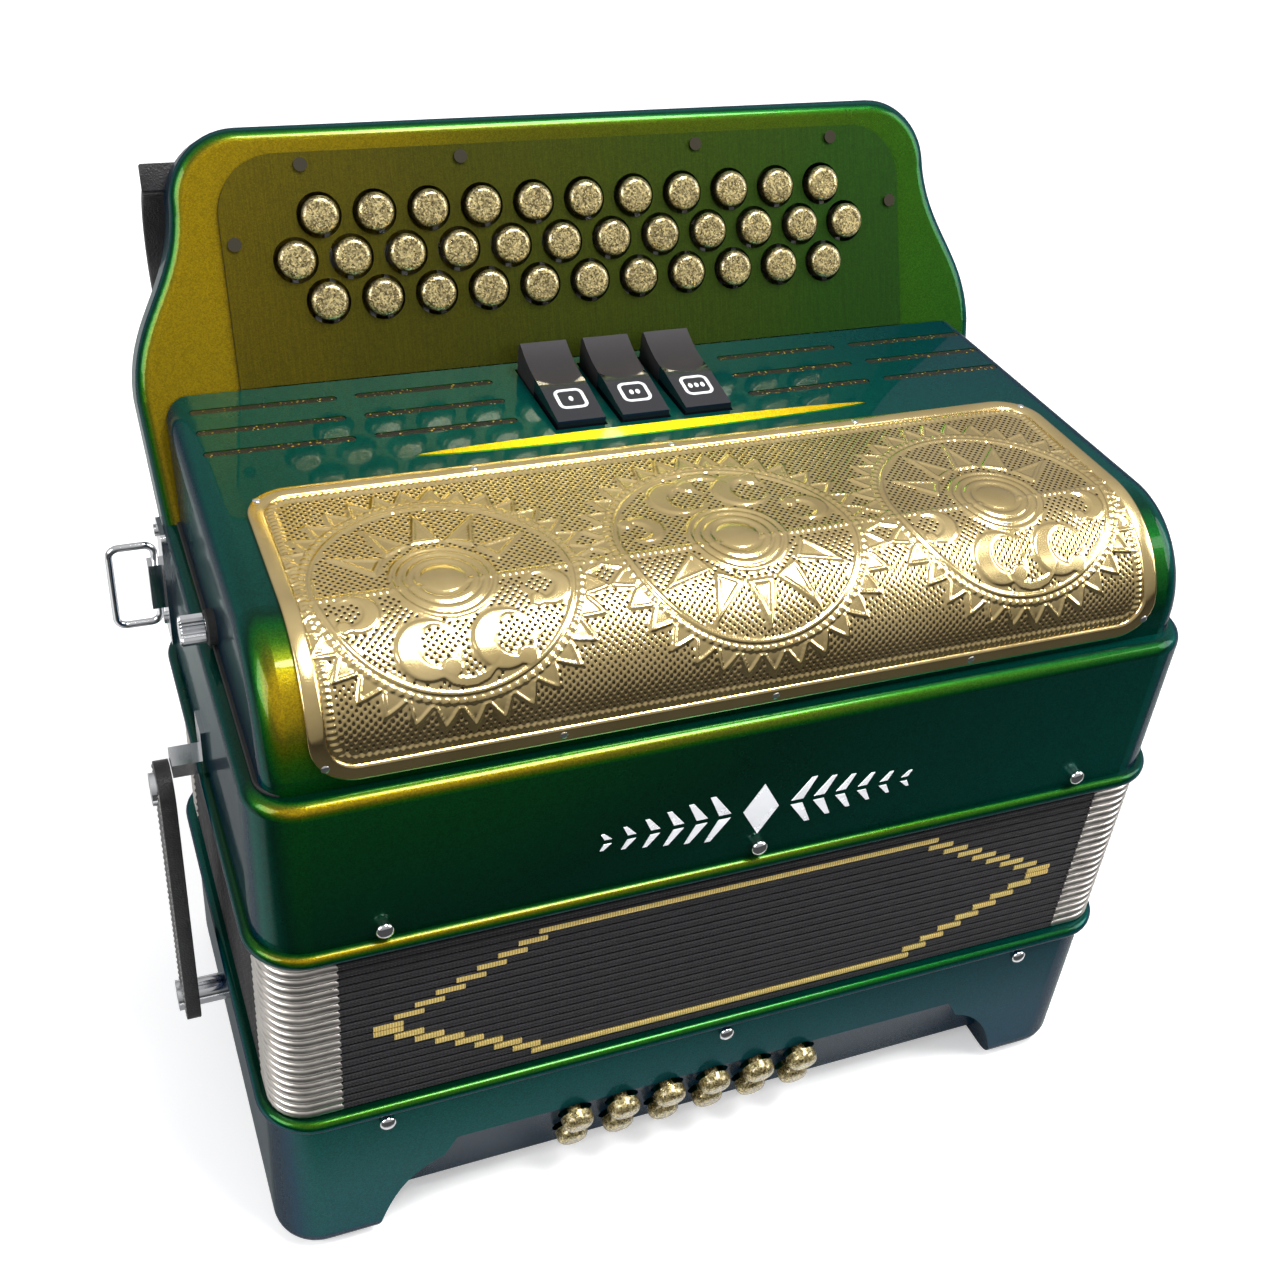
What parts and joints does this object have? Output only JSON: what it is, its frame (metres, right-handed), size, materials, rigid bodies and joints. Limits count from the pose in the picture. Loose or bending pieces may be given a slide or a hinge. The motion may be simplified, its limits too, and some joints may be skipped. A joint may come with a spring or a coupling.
{
  "type": "button accordion",
  "caption": "Three-row diatonic button accordion with bellows, embossed grille, register tabs and strap bails, standing on its bass feet.",
  "frame": {"origin": "on the floor under the middle of the whole instrument, closed", "axes": "+X along the keyboard, -Y towards the grille, +Z from bass to treble"},
  "size_m": [0.3572, 0.2336, 0.3213],
  "materials": {
    "painted_case": "colour-shifting green lacquer under clear coat",
    "painted_cover": "teal green metallic lacquer under clear coat",
    "painted_bass": "blue-teal metallic lacquer under clear coat",
    "painted_plate": "olive gold metallic lacquer",
    "gold_grille": "gold plated, embossed and perforated",
    "plywood": "sealed birch plywood",
    "spruce": "bare spruce",
    "steel_rod": "drawn steel",
    "black_leather": "black grained leather",
    "chrome": "polished chrome",
    "nickel": "brushed nickel",
    "bellows_cloth": "black woven bellows cloth",
    "rubber_pad": "matt black rubber",
    "gold_glitter": "clear caps over gold glitter",
    "black_plastic": "gloss black with a matt finger rest"
  },
  "bodies": {
    "bass_side": {"bass_casing": "painted_bass", "bass_feet": "rubber_pad", "bass_reed_block": "spruce", "hand_strap": "black_leather", "bass_fasteners": "chrome", "bellows_straps": "black_leather", "bellows_folds": "bellows_cloth", "bellows_corners": "nickel"},
    "treble_side": {"treble_casing": "painted_case", "fingerboard_plate": "painted_plate", "grille_cover": "painted_cover", "grille_plate": "gold_grille", "pallet_board": "plywood", "treble_reed_blocks": "spruce", "axles": "steel_rod", "thumb_strap": "black_leather", "strap_brackets": "chrome", "treble_fasteners": "chrome"},
    "bass_upper_buttons": {"bass_buttons_upper_row": "gold_glitter"},
    "bass_lower_buttons": {"bass_buttons_lower_row": "gold_glitter"},
    "air_valve_button": {"air_button": "gold_glitter"},
    "left_bail": {"strap_bail_left": "chrome"},
    "right_bail": {"strap_bail_right": "chrome"},
    "register_1": {"register_switch_1": "black_plastic"},
    "register_2": {"register_switch_2": "black_plastic"},
    "register_3": {"register_switch_3": "black_plastic"},
    "key_r1_01": {"treble_button_r1_01": "gold_glitter"},
    "key_r1_02": {"treble_button_r1_02": "gold_glitter"},
    "key_r1_03": {"treble_button_r1_03": "gold_glitter"},
    "key_r1_04": {"treble_button_r1_04": "gold_glitter"},
    "key_r1_05": {"treble_button_r1_05": "gold_glitter"},
    "key_r1_06": {"treble_button_r1_06": "gold_glitter"},
    "key_r1_07": {"treble_button_r1_07": "gold_glitter"},
    "key_r1_08": {"treble_button_r1_08": "gold_glitter"},
    "key_r1_09": {"treble_button_r1_09": "gold_glitter"},
    "key_r1_10": {"treble_button_r1_10": "gold_glitter"},
    "key_r1_11": {"treble_button_r1_11": "gold_glitter"},
    "key_r2_01": {"treble_button_r2_01": "gold_glitter"},
    "key_r2_02": {"treble_button_r2_02": "gold_glitter"},
    "key_r2_03": {"treble_button_r2_03": "gold_glitter"},
    "key_r2_04": {"treble_button_r2_04": "gold_glitter"},
    "key_r2_05": {"treble_button_r2_05": "gold_glitter"},
    "key_r2_06": {"treble_button_r2_06": "gold_glitter"},
    "key_r2_07": {"treble_button_r2_07": "gold_glitter"},
    "key_r2_08": {"treble_button_r2_08": "gold_glitter"},
    "key_r2_09": {"treble_button_r2_09": "gold_glitter"},
    "key_r2_10": {"treble_button_r2_10": "gold_glitter"},
    "key_r2_11": {"treble_button_r2_11": "gold_glitter"},
    "key_r2_12": {"treble_button_r2_12": "gold_glitter"},
    "key_r3_01": {"treble_button_r3_01": "gold_glitter"},
    "key_r3_02": {"treble_button_r3_02": "gold_glitter"},
    "key_r3_03": {"treble_button_r3_03": "gold_glitter"},
    "key_r3_04": {"treble_button_r3_04": "gold_glitter"},
    "key_r3_05": {"treble_button_r3_05": "gold_glitter"},
    "key_r3_06": {"treble_button_r3_06": "gold_glitter"},
    "key_r3_07": {"treble_button_r3_07": "gold_glitter"},
    "key_r3_08": {"treble_button_r3_08": "gold_glitter"},
    "key_r3_09": {"treble_button_r3_09": "gold_glitter"},
    "key_r3_10": {"treble_button_r3_10": "gold_glitter"},
    "key_r3_11": {"treble_button_r3_11": "gold_glitter"}
  },
  "joints": [
    {"name": "bellows_open", "type": "slide", "parent": "bass_side", "child": "treble_side", "axis": [0, 0, 1], "range_m": [0, 0.28], "deforming": ["bellows_folds", "bellows_corners"]},
    {"name": "air_button_press", "type": "slide", "parent": "bass_side", "child": "air_valve_button", "axis": [-1, 0, 0], "range_m": [0, 0.004], "stiffness_N_per_m": 400, "springref_m": -0.002},
    {"name": "bail_left_swing", "type": "hinge", "parent": "treble_side", "child": "left_bail", "pos_m": [-0.1623, 0.04582, 0.18], "axis": [0, 0, 1], "range_deg": [-80, 80]},
    {"name": "bail_right_swing", "type": "hinge", "parent": "treble_side", "child": "right_bail", "pos_m": [0.1623, 0.04582, 0.18], "axis": [0, 0, 1], "range_deg": [-80, 80]},
    {"name": "bass_buttons_lower_press", "type": "slide", "parent": "bass_side", "child": "bass_lower_buttons", "axis": [0, 0.9487, 0.3162], "range_m": [0, 0.003], "stiffness_N_per_m": 900, "springref_m": -0.002},
    {"name": "bass_buttons_upper_press", "type": "slide", "parent": "bass_side", "child": "bass_upper_buttons", "axis": [0, 0.9487, 0.3162], "range_m": [0, 0.003], "stiffness_N_per_m": 900, "springref_m": -0.002},
    {"name": "register_1_rock", "type": "hinge", "parent": "treble_side", "child": "register_1", "pos_m": [-0.0233, 0.02882, 0.24], "axis": [-1, 0, 0], "range_deg": [0, 6]},
    {"name": "register_2_rock", "type": "hinge", "parent": "treble_side", "child": "register_2", "pos_m": [0, 0.02882, 0.24], "axis": [-1, 0, 0], "range_deg": [0, 6]},
    {"name": "register_3_rock", "type": "hinge", "parent": "treble_side", "child": "register_3", "pos_m": [0.0233, 0.02882, 0.24], "axis": [-1, 0, 0], "range_deg": [0, 6]},
    {"name": "treble_r1_01_press", "type": "hinge", "parent": "treble_side", "child": "key_r1_01", "pos_m": [0, 0.0537, 0.22143], "axis": [-1, 0, 0], "range_deg": [0, 2.15], "stiffness_Nm_per_rad": 0.6, "springref_deg": -3.44},
    {"name": "treble_r1_02_press", "type": "hinge", "parent": "treble_side", "child": "key_r1_02", "pos_m": [0, 0.0537, 0.22143], "axis": [-1, 0, 0], "range_deg": [0, 2.15], "stiffness_Nm_per_rad": 0.6, "springref_deg": -3.44},
    {"name": "treble_r1_03_press", "type": "hinge", "parent": "treble_side", "child": "key_r1_03", "pos_m": [0, 0.0537, 0.22143], "axis": [-1, 0, 0], "range_deg": [0, 2.15], "stiffness_Nm_per_rad": 0.6, "springref_deg": -3.44},
    {"name": "treble_r1_04_press", "type": "hinge", "parent": "treble_side", "child": "key_r1_04", "pos_m": [0, 0.0537, 0.22143], "axis": [-1, 0, 0], "range_deg": [0, 2.15], "stiffness_Nm_per_rad": 0.6, "springref_deg": -3.44},
    {"name": "treble_r1_05_press", "type": "hinge", "parent": "treble_side", "child": "key_r1_05", "pos_m": [0, 0.0537, 0.22143], "axis": [-1, 0, 0], "range_deg": [0, 2.15], "stiffness_Nm_per_rad": 0.6, "springref_deg": -3.44},
    {"name": "treble_r1_06_press", "type": "hinge", "parent": "treble_side", "child": "key_r1_06", "pos_m": [0, 0.0537, 0.22143], "axis": [-1, 0, 0], "range_deg": [0, 2.15], "stiffness_Nm_per_rad": 0.6, "springref_deg": -3.44},
    {"name": "treble_r1_07_press", "type": "hinge", "parent": "treble_side", "child": "key_r1_07", "pos_m": [0, 0.0537, 0.22143], "axis": [-1, 0, 0], "range_deg": [0, 2.15], "stiffness_Nm_per_rad": 0.6, "springref_deg": -3.44},
    {"name": "treble_r1_08_press", "type": "hinge", "parent": "treble_side", "child": "key_r1_08", "pos_m": [0, 0.0537, 0.22143], "axis": [-1, 0, 0], "range_deg": [0, 2.15], "stiffness_Nm_per_rad": 0.6, "springref_deg": -3.44},
    {"name": "treble_r1_09_press", "type": "hinge", "parent": "treble_side", "child": "key_r1_09", "pos_m": [0, 0.0537, 0.22143], "axis": [-1, 0, 0], "range_deg": [0, 2.15], "stiffness_Nm_per_rad": 0.6, "springref_deg": -3.44},
    {"name": "treble_r1_10_press", "type": "hinge", "parent": "treble_side", "child": "key_r1_10", "pos_m": [0, 0.0537, 0.22143], "axis": [-1, 0, 0], "range_deg": [0, 2.15], "stiffness_Nm_per_rad": 0.6, "springref_deg": -3.44},
    {"name": "treble_r1_11_press", "type": "hinge", "parent": "treble_side", "child": "key_r1_11", "pos_m": [0, 0.0537, 0.22143], "axis": [-1, 0, 0], "range_deg": [0, 2.15], "stiffness_Nm_per_rad": 0.6, "springref_deg": -3.44},
    {"name": "treble_r2_01_press", "type": "hinge", "parent": "treble_side", "child": "key_r2_01", "pos_m": [0, 0.0537, 0.22143], "axis": [-1, 0, 0], "range_deg": [0, 2.65], "stiffness_Nm_per_rad": 0.6, "springref_deg": -3.44},
    {"name": "treble_r2_02_press", "type": "hinge", "parent": "treble_side", "child": "key_r2_02", "pos_m": [0, 0.0537, 0.22143], "axis": [-1, 0, 0], "range_deg": [0, 2.65], "stiffness_Nm_per_rad": 0.6, "springref_deg": -3.44},
    {"name": "treble_r2_03_press", "type": "hinge", "parent": "treble_side", "child": "key_r2_03", "pos_m": [0, 0.0537, 0.22143], "axis": [-1, 0, 0], "range_deg": [0, 2.65], "stiffness_Nm_per_rad": 0.6, "springref_deg": -3.44},
    {"name": "treble_r2_04_press", "type": "hinge", "parent": "treble_side", "child": "key_r2_04", "pos_m": [0, 0.0537, 0.22143], "axis": [-1, 0, 0], "range_deg": [0, 2.65], "stiffness_Nm_per_rad": 0.6, "springref_deg": -3.44},
    {"name": "treble_r2_05_press", "type": "hinge", "parent": "treble_side", "child": "key_r2_05", "pos_m": [0, 0.0537, 0.22143], "axis": [-1, 0, 0], "range_deg": [0, 2.65], "stiffness_Nm_per_rad": 0.6, "springref_deg": -3.44},
    {"name": "treble_r2_06_press", "type": "hinge", "parent": "treble_side", "child": "key_r2_06", "pos_m": [0, 0.0537, 0.22143], "axis": [-1, 0, 0], "range_deg": [0, 2.65], "stiffness_Nm_per_rad": 0.6, "springref_deg": -3.44},
    {"name": "treble_r2_07_press", "type": "hinge", "parent": "treble_side", "child": "key_r2_07", "pos_m": [0, 0.0537, 0.22143], "axis": [-1, 0, 0], "range_deg": [0, 2.65], "stiffness_Nm_per_rad": 0.6, "springref_deg": -3.44},
    {"name": "treble_r2_08_press", "type": "hinge", "parent": "treble_side", "child": "key_r2_08", "pos_m": [0, 0.0537, 0.22143], "axis": [-1, 0, 0], "range_deg": [0, 2.65], "stiffness_Nm_per_rad": 0.6, "springref_deg": -3.44},
    {"name": "treble_r2_09_press", "type": "hinge", "parent": "treble_side", "child": "key_r2_09", "pos_m": [0, 0.0537, 0.22143], "axis": [-1, 0, 0], "range_deg": [0, 2.65], "stiffness_Nm_per_rad": 0.6, "springref_deg": -3.44},
    {"name": "treble_r2_10_press", "type": "hinge", "parent": "treble_side", "child": "key_r2_10", "pos_m": [0, 0.0537, 0.22143], "axis": [-1, 0, 0], "range_deg": [0, 2.65], "stiffness_Nm_per_rad": 0.6, "springref_deg": -3.44},
    {"name": "treble_r2_11_press", "type": "hinge", "parent": "treble_side", "child": "key_r2_11", "pos_m": [0, 0.0537, 0.22143], "axis": [-1, 0, 0], "range_deg": [0, 2.65], "stiffness_Nm_per_rad": 0.6, "springref_deg": -3.44},
    {"name": "treble_r2_12_press", "type": "hinge", "parent": "treble_side", "child": "key_r2_12", "pos_m": [0, 0.0537, 0.22143], "axis": [-1, 0, 0], "range_deg": [0, 2.65], "stiffness_Nm_per_rad": 0.6, "springref_deg": -3.44},
    {"name": "treble_r3_01_press", "type": "hinge", "parent": "treble_side", "child": "key_r3_01", "pos_m": [0, 0.0537, 0.22143], "axis": [-1, 0, 0], "range_deg": [0, 3.4], "stiffness_Nm_per_rad": 0.6, "springref_deg": -3.44},
    {"name": "treble_r3_02_press", "type": "hinge", "parent": "treble_side", "child": "key_r3_02", "pos_m": [0, 0.0537, 0.22143], "axis": [-1, 0, 0], "range_deg": [0, 3.4], "stiffness_Nm_per_rad": 0.6, "springref_deg": -3.44},
    {"name": "treble_r3_03_press", "type": "hinge", "parent": "treble_side", "child": "key_r3_03", "pos_m": [0, 0.0537, 0.22143], "axis": [-1, 0, 0], "range_deg": [0, 3.4], "stiffness_Nm_per_rad": 0.6, "springref_deg": -3.44},
    {"name": "treble_r3_04_press", "type": "hinge", "parent": "treble_side", "child": "key_r3_04", "pos_m": [0, 0.0537, 0.22143], "axis": [-1, 0, 0], "range_deg": [0, 3.4], "stiffness_Nm_per_rad": 0.6, "springref_deg": -3.44},
    {"name": "treble_r3_05_press", "type": "hinge", "parent": "treble_side", "child": "key_r3_05", "pos_m": [0, 0.0537, 0.22143], "axis": [-1, 0, 0], "range_deg": [0, 3.4], "stiffness_Nm_per_rad": 0.6, "springref_deg": -3.44},
    {"name": "treble_r3_06_press", "type": "hinge", "parent": "treble_side", "child": "key_r3_06", "pos_m": [0, 0.0537, 0.22143], "axis": [-1, 0, 0], "range_deg": [0, 3.4], "stiffness_Nm_per_rad": 0.6, "springref_deg": -3.44},
    {"name": "treble_r3_07_press", "type": "hinge", "parent": "treble_side", "child": "key_r3_07", "pos_m": [0, 0.0537, 0.22143], "axis": [-1, 0, 0], "range_deg": [0, 3.4], "stiffness_Nm_per_rad": 0.6, "springref_deg": -3.44},
    {"name": "treble_r3_08_press", "type": "hinge", "parent": "treble_side", "child": "key_r3_08", "pos_m": [0, 0.0537, 0.22143], "axis": [-1, 0, 0], "range_deg": [0, 3.4], "stiffness_Nm_per_rad": 0.6, "springref_deg": -3.44},
    {"name": "treble_r3_09_press", "type": "hinge", "parent": "treble_side", "child": "key_r3_09", "pos_m": [0, 0.0537, 0.22143], "axis": [-1, 0, 0], "range_deg": [0, 3.4], "stiffness_Nm_per_rad": 0.6, "springref_deg": -3.44},
    {"name": "treble_r3_10_press", "type": "hinge", "parent": "treble_side", "child": "key_r3_10", "pos_m": [0, 0.0537, 0.22143], "axis": [-1, 0, 0], "range_deg": [0, 3.4], "stiffness_Nm_per_rad": 0.6, "springref_deg": -3.44},
    {"name": "treble_r3_11_press", "type": "hinge", "parent": "treble_side", "child": "key_r3_11", "pos_m": [0, 0.0537, 0.22143], "axis": [-1, 0, 0], "range_deg": [0, 3.4], "stiffness_Nm_per_rad": 0.6, "springref_deg": -3.44}
  ]
}
